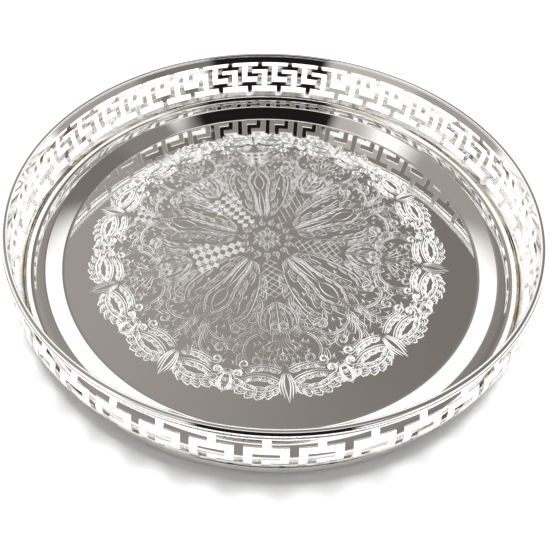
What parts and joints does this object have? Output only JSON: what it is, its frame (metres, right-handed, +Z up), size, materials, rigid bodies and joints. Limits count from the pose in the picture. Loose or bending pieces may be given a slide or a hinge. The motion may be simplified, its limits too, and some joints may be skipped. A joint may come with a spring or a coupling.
{
  "type": "offering plate",
  "caption": "Round silver-plated offering plate: dished tray with an engraved floor, a gently bulging pierced Greek-key gallery and a rolled rim.",
  "frame": {"origin": "on the ground at the centre of the foot ring, which is the lowest point of the plate", "axes": "+Z up along the plate's axis of turning; -Y is the front, the side nearest the viewer; +X is to the viewer's right"},
  "size_m": [0.3084, 0.3084, 0.0475],
  "materials": {
    "tray_silver": "mirror-polished silver plate, engraved floor",
    "foot_silver": "polished silver plate",
    "seam_brass": "bare brass seam, slightly uneven",
    "gallery_silver": "polished silver plate, pierced",
    "rim_silver": "mirror-polished silver plate",
    "bead_silver": "mirror-polished silver plate"
  },
  "bodies": {
    "root": {"tray_plate": "tray_silver", "foot_ring": "foot_silver", "seam_wire": "seam_brass", "gallery": "gallery_silver", "rim_band": "rim_silver", "rim_bead": "bead_silver"}
  },
  "joints": []
}
